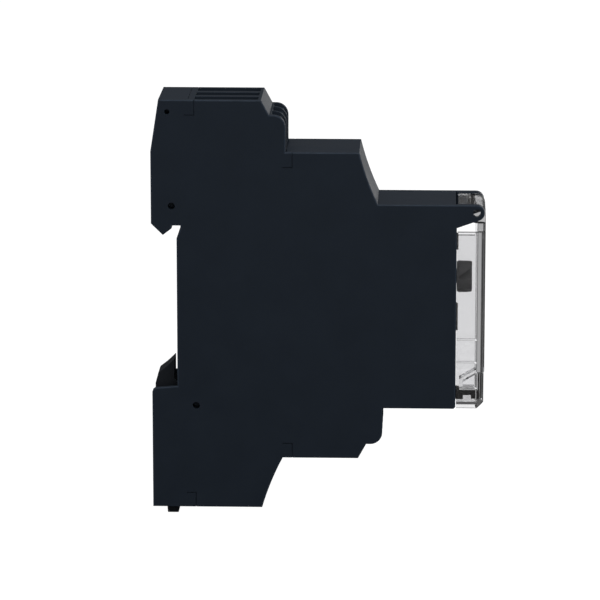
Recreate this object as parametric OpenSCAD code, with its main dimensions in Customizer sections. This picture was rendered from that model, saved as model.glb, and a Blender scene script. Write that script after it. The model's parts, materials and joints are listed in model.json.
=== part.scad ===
// Timer relay for a 35 mm top-hat rail, 17.5 mm wide.
// Frame: the origin is the centre of the rail seat. X runs along the rail, the front faces -Y
// and Z is up. Every outline is drawn in the Y-Z plane, seen from the -X side.

/* [Module size] */
// Width of the module along the rail
module_w = 17.5; // [17.4:0.1:18]
// Height of the case
case_h = 90; // [89:0.5:92]
// Height of the raised front
window_h = 45; // [44.8:0.1:45.2]
// Depth from the rail seat to the front edge of the case sides
front_depth = 60.3; // [60:0.1:62]
// Depth of the case behind the rail seat
rear_depth = 5.5; // [5.4:0.1:6]

/* [Walls] */
// Thickness of the case's own side wall
wall_t = 1.1; // [1:0.05:1.2]
// Thickness of the separate side cover
plate_t = 1.35; // [1.2:0.05:1.4]
// Thickness of the terminal covers
skin_t = 1.2; // [1:0.1:1.3]

/* [Rail] */
// Height of the rail
rail_h = 35; // [35:0.1:35.2]
// Thickness of the rail's lip
lip_t = 1; // [0.9:0.05:1]
// Travel of the rail latch
latch_travel = 4.5; // [4.3:0.1:4.6]

/* [Terminals] */
// Depth of a terminal tier, front to back
tier_run = 21; // [20.8:0.1:21.2]
// Height of a terminal tier
tier_drop = 11.25; // [11.1:0.05:11.3]
// Distance between terminals
pole_pitch = 5.6; // [5.5:0.05:5.7]
// Place of the middle terminal
pole_shift = -0.2; // [-0.3:0.05:-0.1]
// Length of a wire slot
slot_len = 13.7; // [13:0.1:14]
// Diameter of a terminal screw's head
head_d = 3.4; // [3.2:0.1:3.5]
// Diameter of a terminal screw's shank
shank_d = 2.5; // [2.3:0.1:2.5]

/* [Front controls] */
// Height of the test button above the rail's centre
button_z = 12.9; // [12.8:0.1:13.4]
// Diameter of the test button
button_d = 3.7; // [3.4:0.1:3.8]
// Height of the time knob above the rail's centre
knob_z = 5.2; // [5.1:0.1:5.3]
// Largest diameter of the time knob
knob_d = 6.9; // [6.6:0.1:7]
// Height of the range selector above the rail's centre
selector_z = -3.8; // [-3.9:0.1:-3.7]
// Diameter of the range selector
selector_d = 6.1; // [5.8:0.1:6.2]

/* [Clear cover] */
// Distance from the case's front edge to the hinge axis
hinge_out = 4.24; // [4.2:0.02:4.3]
// Height of the hinge axis above the rail's centre
hinge_z = 20.78; // [20.7:0.02:20.8]
// Diameter of the hinge's stub pins
pin_d = 1.6; // [1.5:0.05:1.6]
// Running clearance round pins and shafts
run_gap = 0.05; // [0.03:0.01:0.08]

/* [Hidden] */
$fn = 64;

case_grey = [0.16, 0.18, 0.21];
part_grey = [0.24, 0.25, 0.27];
metal = [0.75, 0.75, 0.76];
copper_alloy = [0.80, 0.62, 0.35];
board_green = [0.10, 0.35, 0.20];

// main faces
x_near = -module_w / 2;
x_far = module_w / 2;
x_in = x_near + wall_t;          // inside of the case wall
x_out = x_far - plate_t;         // inside of the side cover
half_h = case_h / 2;
win = window_h / 2;
mid_h = half_h - tier_drop;      // height of the step between the tiers
front_y = -front_depth;
panel_y = front_y + 0.15;        // front of the front panel
rear_seam = -2.5;                // where the rear tiers start
mid_seam = rear_seam - tier_run; // where the front tiers start
fit = 0.05;                      // gap between fixed pieces
seam_gap = 0.1;                  // open seam behind each cover

// terminal tier, in its own frame: y runs to the front, z down from the top
slope_y = -15.75;
bulge_top = -3.2;
bulge_r = 2.6;
guard_z = -7.2;                  // height of the screw's axis
guard_y = -20.1;                 // front of the wall behind the fins
cell_rib = 0.8;                  // thickness of a rib between terminals

// hinge
hinge_y = front_y - hinge_out;
ear_r = win - hinge_z;
near_ear_x = -7.05;              // inner face of the ear on the case
far_ear_x = 6.4;                 // inner face of the ear on the side cover

// rail latch and its spring
latch_x = 6.8;                   // half width of the latch's bar
pull_x = 3;                      // half width of its nose and pull
latch_y = [0.3, 2.7];            // rear and front faces of the bar
nose_top = latch_travel - 0.15 - rail_h / 2;
seat_top = -36.6;                // where the spring rests on the case
seat_drop = 1.2;                 // height of that rest
spring_top = -24;                // where the spring pushes the latch
spring_y = 1.5;
seat_x = 1.2;                    // half width of the spring's rest
guide_x = 4.9;                   // inner edges of the guides behind the bar
guide_y = 4;

// peg holes through the case wall: depth, height, diameter
PEGS = [[1.85, 42.4, 1.15], [1.05, 21.9, 1.55], [-4.05, -22.2, 1.6]];

// snap hooks of the side cover
hook_y = [-50.8, -47.55];
hook_reach = 0.4;

// boards
board_x = 5;                     // component side of the main board
board_t = 1.2;
board_top = 31.8;
board_low = -20.2;
board_front_y = -53.2;           // component side of the front board

function pole_x(i) = pole_shift + (i - 1) * pole_pitch;

// a bow from a to b that bulges by s at its middle
function bow(a, b, s, n = 8) = [for (i = [0:n])
    let (t = i / n, d = b - a, side = [d[1], -d[0]] / norm(d)) a + d * t + side * 4 * s * t * (1 - t)];

// where a line from p touches the lower side of a circle at c with radius r
function touch(p, c, r) =
    let (d = c - p, a = atan2(d[1], d[0]) + asin(r / norm(d)))
    p + sqrt(d * d - r * r) * [cos(a), sin(a)];

// ---- helpers

module along_x(x0, x1) {
    translate([x0, 0, 0]) rotate([90, 0, 90]) linear_extrude(x1 - x0) children();
}

module box(lo, hi) {
    translate(lo) cube(hi - lo);
}

// a cylinder along Y from y0 towards the front to y1
module rod_y(x, z, y0, y1, d) {
    translate([x, y0, z]) rotate([90, 0, 0]) cylinder(d = d, h = y0 - y1);
}

// a cylinder along X
module rod_x(y, z, x0, x1, d) {
    translate([x0, y, z]) rotate([0, 90, 0]) cylinder(d = d, h = x1 - x0);
}

// tiers drawn for the top half, or mirrored to the bottom half
module upper_rear() { translate([0, rear_seam, half_h]) children(); }
module lower_rear() { mirror([0, 0, 1]) translate([0, rear_seam, half_h]) children(); }
module upper_front() { translate([0, mid_seam, mid_h]) children(); }
module lower_front() { mirror([0, 0, 1]) translate([0, mid_seam, mid_h]) children(); }

// ---- outlines in the Y-Z plane

module terminal_tier_2d() {
    polygon([[0, 0], [slope_y, 0], [slope_y - 1.75, bulge_top], [-tier_run + bulge_r, bulge_top],
             [-tier_run + bulge_r, bulge_top - bulge_r], [-tier_run, bulge_top - bulge_r],
             [-tier_run, -tier_drop], [0, -tier_drop]]);
    translate([-tier_run + bulge_r, bulge_top - bulge_r]) circle(r = bulge_r);
}

module blank_tier_2d(run) {
    polygon(concat([[0, 0]], bow([slope_y - 0.1, 0], [-run, -tier_drop], -0.3), [[0, -tier_drop]]));
}

blank_run_upper = 19.85;         // foot of the upper blank cover's slope
blank_run_lower = 20.35;         // foot of the lower blank cover's slope

module ear_2d() {
    p = [front_y, 17.45];
    c = [hinge_y, hinge_z];
    polygon([p, touch(p, c, ear_r), c, [hinge_y, win], [front_y, win]]);
    translate(c) circle(r = ear_r);
}

// the hook over the rail's upper lip and the rail seat
rear_edge = [[3.75, half_h], [rear_depth, mid_h], [rear_depth, 18], [2.94, 15.5],
             [lip_t + 0.05, 16.95], [lip_t + 0.02, rail_h / 2 + 0.1], [-0.85, rail_h / 2 + 0.1],
             [-0.85, 16.9], [0, 14.8]];

// cheek beside the latch channel
cheek_edge = [[0, -17.95], [rear_depth - 0.7, -18.35], [rear_depth - 0.2, -18.7],
              [rear_depth, -19.25], [rear_depth, -half_h]];

// the case's steps, from the bottom round the front to the top
step_edge = [[rear_seam, -half_h], [rear_seam, -mid_h], [mid_seam, -mid_h], [mid_seam, -win],
             [front_y + 0.4, -win], [front_y, -win + 0.4], [front_y, win], [mid_seam, win],
             [mid_seam, mid_h], [rear_seam, mid_h], [rear_seam, half_h]];

module side_2d() {
    polygon(concat(rear_edge, cheek_edge, step_edge));
    translate([rear_seam, half_h]) terminal_tier_2d();
    translate([mid_seam, mid_h]) blank_tier_2d(blank_run_upper);
    mirror([0, 1]) translate([mid_seam, mid_h]) terminal_tier_2d();
    mirror([0, 1]) translate([rear_seam, half_h]) blank_tier_2d(blank_run_lower);
    ear_2d();
}

// the rail's lower lip bears on the case's sides only, so the case between them is set back there
relief_y = -0.2;
relief = [[0, nose_top + 0.15], [relief_y, nose_top - 0.05], [relief_y, -rail_h / 2 - 0.6],
          [0, -rail_h / 2 - 0.8]];

// the case between its sides
module core_2d() {
    polygon(concat(rear_edge, relief, [[0, -half_h]], step_edge));
}

// the hollow that holds the boards, open to the front
module cavity_2d() {
    polygon([[3.75 - wall_t, half_h - wall_t], [rear_depth - wall_t, mid_h],
             [rear_depth - wall_t, 18.9], [-2, 18.9], [-2, -mid_h + wall_t],
             [mid_seam + wall_t, -mid_h + wall_t], [mid_seam + wall_t, -win + wall_t],
             [front_y - 9, -win + wall_t], [front_y - 9, win - wall_t],
             [mid_seam + wall_t, win - wall_t], [mid_seam + wall_t, mid_h - wall_t],
             [rear_seam + wall_t, mid_h - wall_t], [rear_seam + wall_t, half_h - wall_t]]);
}

// L-shaped parting mark of a cover's clip, on one side face
module clip_mark(x) {
    mark_w = 0.16;
    mark_h = 3.35;
    mark_y = [-1.5, 0.7];
    deep = 0.5;
    box([x - deep, mark_y[0], -mark_h], [x + deep, mark_y[0] + mark_w, 0.1]);
    box([x - deep, mark_y[0], -mark_h], [x + deep, mark_y[1], -mark_h + mark_w]);
}

module clip_marks(x) {
    upper_rear() clip_mark(x);
    lower_rear() clip_mark(x);
    upper_front() clip_mark(x);
    lower_front() clip_mark(x);
}

// ---- case

module busbar_slits() {
    for (i = [0:2]) box([pole_x(i) - 1.3, -12.3, -tier_drop - 2], [pole_x(i) + 1.3, -11.2, -tier_drop + 1]);
}

module housing() {
    color(case_grey) difference() {
        union() {
            along_x(x_near, x_in) side_2d();
            along_x(x_in - 0.01, x_out) difference() {
                core_2d();
                cavity_2d();
                translate([front_y - 1, -win - 1]) square([1.2, window_h + 2]);
            }
            along_x(x_in - 0.01, near_ear_x) intersection() {
                ear_2d();
                translate([hinge_y - 5, 10]) square([5 + hinge_out - 0.05, 15]);
            }
            // floor of the latch channel, the latch's guide and the spring's seat
            box([x_in - 0.01, -0.01, -half_h], [x_out, rear_depth, -half_h + wall_t]);
            box([x_in - 0.01, latch_y[1] + 0.15, -half_h + 0.5], [-guide_x, guide_y, spring_top]);
            box([-seat_x, -0.01, seat_top - seat_drop], [seat_x, latch_y[1] - 0.05, seat_top]);
            for (p = PEGS) rod_x(p[0], p[1], x_in - 0.01, 5, p[2] + 1.3);
        }
        rod_x(hinge_y, hinge_z, x_near - 1, near_ear_x + 1, pin_d + 2 * run_gap);
        for (p = PEGS) rod_x(p[0], p[1], x_near - 1, 6, p[2]);
        clip_marks(x_near);
        upper_rear() busbar_slits();
        lower_front() busbar_slits();
        // window for the latch's pull
        box([-pull_x - 0.15, latch_y[0] - 0.15, -half_h - 1],
            [pull_x + 0.15, latch_y[1] + 0.15, -half_h + 2]);
        // pockets for the side cover's snap hooks
        for (s = [-1, 1])
            box([x_out - hook_reach - 0.05, hook_y[0] - 0.15, s * win - 0.6],
                [x_out + 1, hook_y[1] + 0.15, s * win + 0.6]);
    }
}

module side_cover() {
    color(case_grey) difference() {
        union() {
            along_x(x_out, x_far) side_2d();
            along_x(far_ear_x, x_out + 0.01) intersection() {
                ear_2d();
                translate([hinge_y - 5, 10]) square([5 + hinge_out - 0.05, 15]);
            }
            for (p = PEGS) rod_x(p[0], p[1], -6, x_out + 0.01, p[2] - 0.1);
            // the latch's guide and the snap hooks
            box([guide_x, latch_y[1] + 0.15, -half_h + 1.3], [x_out + 0.01, guide_y, spring_top]);
            for (s = [-1, 1])
                box([x_out - hook_reach, hook_y[0], s * (win - 0.4) - 0.15],
                    [x_out + 0.01, hook_y[1], s * (win - 0.4) + 0.15]);
        }
        rod_x(hinge_y, hinge_z, far_ear_x - 1, x_far + 1, pin_d + 2 * run_gap);
        clip_marks(x_far);
    }
}

// ---- terminal covers

back_y = -0.8;                   // inside of a cover's back
slot_y = -1.4;                   // rear end of the wire slots
guard_t = 0.8;
fin_floor = -4.2;                // floor of the gaps between the fins

module wire_slots() {
    half = 1.85;
    for (i = [0:2]) {
        x0 = i == 0 ? x_in - 1 : pole_x(i) - half;
        x1 = i == 2 ? x_out + 1 : pole_x(i) + half;
        box([x0, slot_y - slot_len, -skin_t - 1], [x1, slot_y, 1]);
    }
}

// hollow behind the skin of a tier, leaving the guard wall and the cover's back
module terminal_hollow_2d() {
    below = fin_floor - 0.9;
    polygon([[back_y, -skin_t], [slope_y + 0.65, -skin_t], [slope_y - 1.35, below],
             [guard_y + guard_t, below], [guard_y + guard_t, -tier_drop - 1], [back_y, -tier_drop - 1]]);
}

// the step that the fins stand proud of
module fin_recess_2d() {
    polygon([[slope_y - 1.9, -2], [slope_y - 2.4, fin_floor], [guard_y, fin_floor],
             [guard_y, -tier_drop - 1], [-tier_run - 1, -tier_drop - 1], [-tier_run - 1, -2]]);
}

// a tier's outline less its seam and the strip of depth foot that the case fills below it
module cover_2d(foot) {
    difference() {
        children();
        translate([-tier_run - 1, -tier_drop - 1]) square([tier_run + 2, 1 + foot]);
        translate([-seam_gap, -tier_drop - 1]) square([1, tier_drop + 2]);
    }
}

module terminal_cover() {
    half_cell = (pole_pitch - cell_rib) / 2;
    difference() {
        along_x(x_in + fit, x_out - fit) cover_2d(0.35) terminal_tier_2d();
        for (i = [0:2]) {
            x0 = i == 0 ? x_in - 1 : pole_x(i) - half_cell;
            x1 = i == 2 ? x_out + 1 : pole_x(i) + half_cell;
            along_x(x0, x1) terminal_hollow_2d();
            along_x(x0, x1) fin_recess_2d();
            rod_y(pole_x(i), guard_z, guard_y + 2, guard_y - 2, head_d - 0.3);
        }
        wire_slots();
    }
}

module upper_terminal_cover() { color(case_grey) upper_rear() terminal_cover(); }
module lower_terminal_cover() { color(case_grey) lower_front() terminal_cover(); }

module blank_cover(run) {
    difference() {
        along_x(x_in + fit, x_out - fit) cover_2d(fit) blank_tier_2d(run);
        difference() {
            along_x(x_in - 1, x_out + 1) polygon(concat([[back_y, -skin_t]],
                bow([slope_y + 0.5, -skin_t], [-run + skin_t * 1.05, -tier_drop - 1], -0.25),
                [[back_y, -tier_drop - 1]]));
            // two stiffening ribs
            for (i = [0:1]) box([pole_x(i) + 2.3, -run + 1, -tier_drop], [pole_x(i) + 3.3, -1, 0]);
        }
    }
}

module upper_blank_cover() { color(case_grey) upper_front() blank_cover(blank_run_upper); }
module lower_blank_cover() { color(case_grey) lower_rear() blank_cover(blank_run_lower); }

// ---- front

label_t = 0.1;                   // thickness of the dial label
lamp_x = 3.2;
lamp_z = -11.5;
lamp_d = 2.4;
catch_x = [-6.4, -5.2];
catch_tip = front_y - 5.15;
catch_z = [-20.8, -18];          // lower and upper faces of the catch's arm
tongue_t = 0.3;                  // thickness of the tongue behind the cover's front
tongue_top = -15;

module front_openings(grow) {
    rod_y(0, button_z, panel_y + 4, panel_y - 2, button_d + 2 * grow);
    rod_y(0, selector_z, panel_y + 4, panel_y - 2, selector_d + 2 * grow);
    for (s = [-1, 1]) rod_y(s * lamp_x, lamp_z, panel_y + 4, panel_y - 2, lamp_d + 2 * grow);
    box([catch_x[0] - grow, panel_y - 2, catch_z[0] - grow],
        [catch_x[1] + grow, panel_y + 4, catch_z[1] + grow]);
}

knob_hub_d = 3.2;

module front_panel() {
    color(part_grey) difference() {
        box([x_in + fit, panel_y + label_t, -win + wall_t + fit],
            [x_out - fit, panel_y + 1.3, win - wall_t - fit]);
        front_openings(run_gap);
        rod_y(0, knob_z, panel_y + 4, panel_y - 2, knob_hub_d + 2 * run_gap);
    }
}

module dial_label() {
    color("gainsboro") difference() {
        box([-6.9, panel_y, -17.4], [6.3, panel_y + label_t, 16.6]);
        front_openings(0.3);
        rod_y(0, knob_z, panel_y + 4, panel_y - 2, knob_hub_d + 0.6);
    }
}

// an arm with an upright tongue at its tip, and a flange that holds it behind the panel
module cover_catch() {
    flange_y = [panel_y + 1.35, panel_y + 1.9];
    arm_top = catch_z[1] - 0.85;
    tip_z = catch_z[0] + 0.15;
    notch_z = catch_z[0] + 0.95;
    color([0.1, 0.1, 0.1]) along_x(catch_x[0], catch_x[1]) polygon([
        [flange_y[1], catch_z[1] + 0.5], [flange_y[0], catch_z[1] + 0.5], [flange_y[0], catch_z[1]],
        [front_y - 0.7, catch_z[1]], [front_y - 0.9, arm_top], [catch_tip + tongue_t, arm_top],
        [catch_tip + tongue_t, tongue_top], [catch_tip, tongue_top], [catch_tip, tip_z],
        [catch_tip + 1.8, tip_z], [catch_tip + 1.8, notch_z], [front_y - 1.65, notch_z],
        [front_y - 1.65, catch_z[0]], [flange_y[0], catch_z[0]],
        [flange_y[0], catch_z[0] - 0.4], [flange_y[1], catch_z[0] - 0.4]]);
}

// ---- clear cover, moulded in one piece with its hinge pins

cover_x = 8.6;                   // half width
cover_side = 1;                  // thickness of the cover's sides
cover_back = front_y - 0.15;
cover_front = hinge_y - 1.96;
cover_inner = cover_front + 1.6;
cover_top = 16.55;               // top of the cover's front and near side
far_top = 12.7;                  // top of its far side
cover_low = -22.3;
cover_floor = [-21.6, -21];      // lower and upper faces of its floor
foot_top = -14.3;                // where the cover's foot begins
foot_y = cover_front + 0.15;     // front of the foot
catch_roof = -17.85;             // inside of the pocket that passes over the catch
lid_z = [20.9, 22.2];            // lid between the ears
barrel_r = 1.96;

// a rectangle from lo to hi whose two front corners have radius r
module round_front(lo, hi, r) {
    translate([lo[0], lo[1] + r]) square([hi[0] - lo[0], hi[1] - lo[1] - r]);
    translate([lo[0] + r, lo[1]]) square([hi[0] - lo[0] - 2 * r, r + 0.1]);
    for (x = [lo[0] + r, hi[0] - r]) translate([x, lo[1] + r]) circle(r = r);
}

// the front and both sides, seen from above
module cover_section_2d() {
    inner_x = cover_x - cover_side;
    difference() {
        round_front([-cover_x, cover_front], [cover_x, cover_back], 1.05);
        round_front([-inner_x, cover_inner], [inner_x, cover_back + 1], 0.5);
    }
}

// what is cut away in front of the foot and its bevel
module foot_cut_2d() {
    polygon([[cover_front - 1, foot_top], [cover_front, foot_top], [foot_y, foot_top - 0.05],
             [foot_y, cover_low + 1.4], [cover_inner, cover_low], [cover_inner, cover_low - 1],
             [cover_front - 1, cover_low - 1]]);
}

// wall of the pocket over the catch
module catch_pocket_2d() {
    y0 = cover_inner - 0.1;
    polygon([[y0, foot_top + 0.7], [front_y - 4.1, foot_top + 0.25], [front_y - 0.8, foot_top - 1.65],
             [front_y - 0.8, catch_roof - 0.3], [y0, catch_roof - 0.3], [y0, catch_roof],
             [front_y - 1.6, catch_roof], [front_y - 1.6, catch_roof + 1.3], [y0, foot_top - 0.4]]);
}

module cover_shell() {
    near = near_ear_x + 0.1;
    far = far_ear_x - 0.1;
    barrel_z = lid_z[1] - barrel_r;
    difference() {
        translate([0, 0, cover_low]) linear_extrude(cover_top - cover_low) cover_section_2d();
        along_x(-cover_x - 1, cover_x + 1) foot_cut_2d();
        box([cover_x - cover_side - 0.1, cover_inner + 0.5, far_top],
            [cover_x + 1, cover_back + 1, cover_top + 1]);
    }
    // barrel and its pins
    rod_x(hinge_y, barrel_z, near, far, 2 * barrel_r);
    rod_x(hinge_y, hinge_z, -cover_x, near + 0.1, pin_d);
    rod_x(hinge_y, hinge_z, far - 0.1, cover_x, pin_d);
    // lid, and the front between the ears
    box([near, hinge_y, lid_z[0]], [far, front_y - 0.3, lid_z[1]]);
    box([near, cover_front, cover_top - 1], [far, cover_inner, barrel_z]);
    // floor, a little above the lower edges of the sides
    box([-cover_x + 0.2, cover_inner - 0.2, cover_floor[0]], [cover_x - 0.2, cover_back, cover_floor[1]]);
    // stiffening ribs inside the near side
    for (z = [-7.2, -12.25])
        box([-cover_x + cover_side - 0.01, cover_inner - 0.1, z - 0.15],
            [-cover_x + cover_side + 0.8, cover_back, z + 0.15]);
    along_x(-cover_x + 0.5, catch_x[1] + 0.6) catch_pocket_2d();
}

module clear_cover() {
    color([0.85, 0.88, 0.9, 0.4]) difference() {
        cover_shell();
        // recess that takes the tip of the catch and its tongue
        box([catch_x[0] - 0.3, catch_tip - 0.15, catch_z[0] - 0.15],
            [catch_x[1] + 0.3, cover_inner + 0.2, tongue_top + 0.2]);
    }
}

// ---- rail latch and its spring

module rail_latch() {
    inner = lip_t + 0.05;
    nose_drop = [1.75, 3.05, 5.45, 7.65, 9.85]; // how far each corner of the nose lies below its top
    pull_low = -half_h - 2.9;
    color(case_grey) difference() {
        union() {
            box([-latch_x, latch_y[0], -39], [latch_x, latch_y[1], -20.2]);
            along_x(-pull_x, pull_x) polygon([
                [inner, nose_top], [2.87, nose_top - nose_drop[0]], [4.54, nose_top - nose_drop[1]],
                [5.2, nose_top - nose_drop[2]], [5.2, nose_top - nose_drop[3]],
                [latch_y[1], nose_top - nose_drop[4]], [latch_y[0], nose_top - nose_drop[4]],
                [latch_y[0], -rail_h / 2 - 0.9], [inner, -rail_h / 2 - 0.15]]);
            along_x(-pull_x, pull_x) polygon([
                [latch_y[0], -38], [latch_y[0], -half_h - 0.1], [0.05, -half_h - 0.2],
                [latch_y[0], pull_low], [latch_y[1], pull_low], [2.9, -half_h - 0.2],
                [latch_y[1], -half_h - 0.1], [latch_y[1], -38]]);
        }
        // window round the spring and its rest
        box([-seat_x - 0.15, -1, seat_top - seat_drop - 0.2], [seat_x + 0.15, 4, spring_top]);
    }
}

module latch_spring() {
    turns = 9;
    steps = 12;
    sides = 6;
    wire_r = 0.18;
    coil_r = 0.95;
    low = seat_top + wire_r + 0.02;
    rise = spring_top - seat_top - 2 * wire_r - 0.04;
    rings = turns * steps;
    points = [for (i = [0:rings], j = [0:sides - 1])
        let (a = 360 * i / steps, b = 360 * j / sides, r = coil_r + wire_r * cos(b))
        [r * cos(a), spring_y + r * sin(a), low + rise * i / rings + wire_r * sin(b)]];
    skin = [for (i = [0:rings - 1], j = [0:sides - 1])
        let (k = (j + 1) % sides)
        [i * sides + j, (i + 1) * sides + j, (i + 1) * sides + k, i * sides + k]];
    ends = [[for (j = [0:sides - 1]) j], [for (j = [sides - 1:-1:0]) rings * sides + j]];
    color(metal) polyhedron(points, concat(skin, ends));
}

// ---- controls

// a round knob with a grip across it, between two ramps that fall from the rim to the grip's foot
module time_knob() {
    tip = front_y - 3.4;
    draft = 0.1;
    grip = 1.2;                      // half thickness of the grip
    floor_y = tip + 2.85;            // between the grip and the ramp's foot
    ramp = [1.85, 3.3];              // its foot and its top, from the knob's middle
    steepness = (floor_y - tip) / (ramp[1] - ramp[0]);
    turned = 69;                     // clockwise from the top, seen from the front
    color(part_grey) difference() {
        union() {
            translate([0, front_y - 0.1, knob_z]) rotate([90, 0, 0]) {
                cylinder(d1 = knob_d - 0.5, d2 = knob_d, h = 0.4);
                translate([0, 0, 0.4]) cylinder(d1 = knob_d, d2 = knob_d - draft, h = 2.9);
            }
            rod_y(0, knob_z, -56, front_y - 0.2, 2);
            rod_y(0, knob_z, panel_y + 1.6, front_y - 0.2, knob_hub_d);
        }
        translate([0, 0, knob_z]) for (a = [0, 180]) rotate([0, turned + a, 0])
            translate([0, 0, -5]) linear_extrude(10) polygon([
                [grip, tip - 1], [grip, floor_y], [ramp[0], floor_y], [ramp[1] + 1 / steepness, tip - 1]]);
    }
}

module range_selector() {
    tip = front_y - 0.4;
    color(part_grey) difference() {
        union() {
            rod_y(0, selector_z, panel_y + 1.5, tip, selector_d);
            rod_y(0, selector_z, -56, panel_y + 1, 2);
        }
        // screwdriver slot
        box([-0.45, tip - 1, selector_z - 2.3], [0.45, tip + 0.9, selector_z + 2.3]);
    }
}

module test_button() {
    color(part_grey) union() {
        rod_y(0, button_z, panel_y + 1.6, front_y - 0.42, button_d);
        rod_y(0, button_z, panel_y + 2.1, panel_y + 1.35, button_d + 1);
    }
}

module button_switch() {
    color([0.1, 0.1, 0.1]) union() {
        box([-3, -56.7, button_z - 3], [3, board_front_y, button_z + 3]);
        rod_y(0, button_z, -56.5, -57.45, 3);
    }
}

module potentiometer() {
    color("royalblue") difference() {
        box([-4, -57.4, knob_z - 4], [4, board_front_y, knob_z + 4]);
        rod_y(0, knob_z, -54.5, -60, 2 + 2 * run_gap);
    }
}

module range_switch() {
    color([0.12, 0.12, 0.13]) difference() {
        box([-3.7, -57.4, selector_z - 3.5], [3.7, board_front_y, selector_z + 3.5]);
        rod_y(0, selector_z, -54.5, -60, 2 + 2 * run_gap);
    }
}

module status_lamps() {
    color("honeydew") for (s = [-1, 1]) {
        rod_y(s * lamp_x, lamp_z, board_front_y, board_front_y - 0.8, 3.2);
        rod_y(s * lamp_x, lamp_z, board_front_y - 0.7, board_front_y - 2, 2.6);
        translate([s * lamp_x, board_front_y - 2, lamp_z]) sphere(d = 2.6);
    }
}

module light_guides() {
    color([0.9, 0.95, 0.9, 0.6]) for (s = [-1, 1]) {
        rod_y(s * lamp_x, lamp_z, panel_y + 2.2, panel_y, lamp_d);
        rod_y(s * lamp_x, lamp_z, panel_y + 2.2, panel_y + 1.35, lamp_d + 0.8);
    }
}

// ---- boards and what stands on them

module main_board() {
    color(board_green) along_x(board_x, board_x + board_t) polygon([
        [-3.2, board_top], [-21.5, board_top], [-21.5, 20.6], [-51.8, 20.6], [-51.8, board_low],
        [-3.2, board_low]]);
}

module front_board() {
    color(board_green) box([-7.2, board_front_y, -19.5], [7, board_front_y + board_t, 17.8]);
}

module board_connector() {
    body_y = board_front_y + board_t;
    color([0.1, 0.1, 0.1]) box([2.4, body_y, -6], [board_x - 0.02, body_y + 2.5, 12]);
}

module smoothing_capacitor() {
    color("midnightblue") rod_x(-9.5, 13.5, board_x - 11.5, board_x - 0.02, 8);
}

module dropper_capacitor() {
    color("darkgoldenrod") box([board_x - 11, -34, 8], [board_x - 0.02, -17, 15.5]);
}

module varistor() {
    color("steelblue") union() {
        rod_y(-0.6, 24, -15.1, -18, 6.5);
        for (z = [22.6, 25.4]) box([1.9, -16.8, z - 0.3], [board_x - 0.02, -16.2, z + 0.3]);
    }
}

module controller_chip() {
    color([0.12, 0.12, 0.13]) box([board_x - 1.1, -46, -4], [board_x - 0.02, -38.6, 4]);
}

module clock_crystal() {
    color(metal) rod_y(board_x - 1.2, 8, -40, -46, 2);
}

module rectifier_diodes() {
    color([0.12, 0.12, 0.13]) for (z = [0, 3.5]) rod_y(board_x - 1.5, z, -24, -29, 2.7);
}

module resistors() {
    color("tan") for (z = [-14, -10.5, 13]) rod_y(board_x - 1.4, z, -40, -46.5, 2.4);
}

// ---- relay, lying on the main board

relay_y = -5.9;                  // rear end of the relay
relay_lo = [-6.9, relay_y - 28, -19.5];
relay_hi = [3.9, relay_y, -7];
relay_wall = 0.6;
coil_x = -1.5;
coil_z = -13.25;
coil_y = [relay_y - 3, relay_y - 16]; // rear and front ends of the bobbin
flange_t = 0.9;                  // thickness of the bobbin's flanges
core_d = 3;
yoke_half = 3.7;                 // half width of the yoke
arm_z = [-18.7, -17.75];         // the yoke's arm
pivot_y = coil_y[1] - 1.5;       // where the armature pivots on the arm's end
pivot_z = -18.2;
armature_half = 3.5;
armature_t = 0.8;
armature_top = -9.2;
blade_y = [pivot_y - 4.9, pivot_y - 4.6]; // the armature's contact blade
contact_z = -12;
contact_d = 1.6;
contact_y = [relay_y - 20.8, relay_y - 23.6]; // the fixed contacts' blades

module relay_base() {
    color([0.1, 0.1, 0.1])
        box([relay_hi[0] - 0.02, relay_lo[1], relay_lo[2]], [board_x - 0.02, relay_hi[1], relay_hi[2]]);
}

module relay_case() {
    inset = [relay_wall, relay_wall, relay_wall];
    color([0.15, 0.25, 0.4]) difference() {
        box(relay_lo, relay_hi - [0.04, 0, 0]);
        box(relay_lo + inset, relay_hi + [1, -relay_wall, -relay_wall]);
    }
}

module relay_coil() {
    flange_d = 8.6;
    color("peru") difference() {
        union() {
            rod_y(coil_x, coil_z, coil_y[0], coil_y[1], 7.2);
            rod_y(coil_x, coil_z, coil_y[0], coil_y[0] - flange_t, flange_d);
            rod_y(coil_x, coil_z, coil_y[1] + flange_t, coil_y[1], flange_d);
        }
        rod_y(coil_x, coil_z, coil_y[0] + 1, coil_y[1] - 1, core_d + 0.2);
    }
}

// the frame behind and below the coil, and the core through it
module relay_yoke() {
    back = coil_y[0] + 1;
    color(metal) union() {
        box([coil_x - yoke_half, coil_y[0] + 0.2, arm_z[0]], [coil_x + yoke_half, back + 0.3, -8.6]);
        box([coil_x - yoke_half, coil_y[1] - 1.2, arm_z[0]], [coil_x + yoke_half, back, arm_z[1]]);
        rod_y(coil_x, coil_z, back, coil_y[1] - 0.7, core_d);
    }
}

// pivots on the end of the yoke's arm
module relay_armature() {
    color(metal) union() {
        box([coil_x - armature_half, pivot_y - armature_t, pivot_z - 0.4],
            [coil_x + armature_half, pivot_y, armature_top]);
        rod_x(pivot_y, pivot_z, coil_x - armature_half, coil_x + armature_half, 0.56);
        box([coil_x - 1, blade_y[0], armature_top - 0.7], [coil_x + 1, pivot_y - 0.4, armature_top]);
        box([coil_x - 1, blade_y[0], contact_z - 1.2], [coil_x + 1, blade_y[1], armature_top - 0.2]);
        rod_y(coil_x, contact_z, blade_y[1] + 0.3, blade_y[0] - 0.3, contact_d);
    }
}

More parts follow.
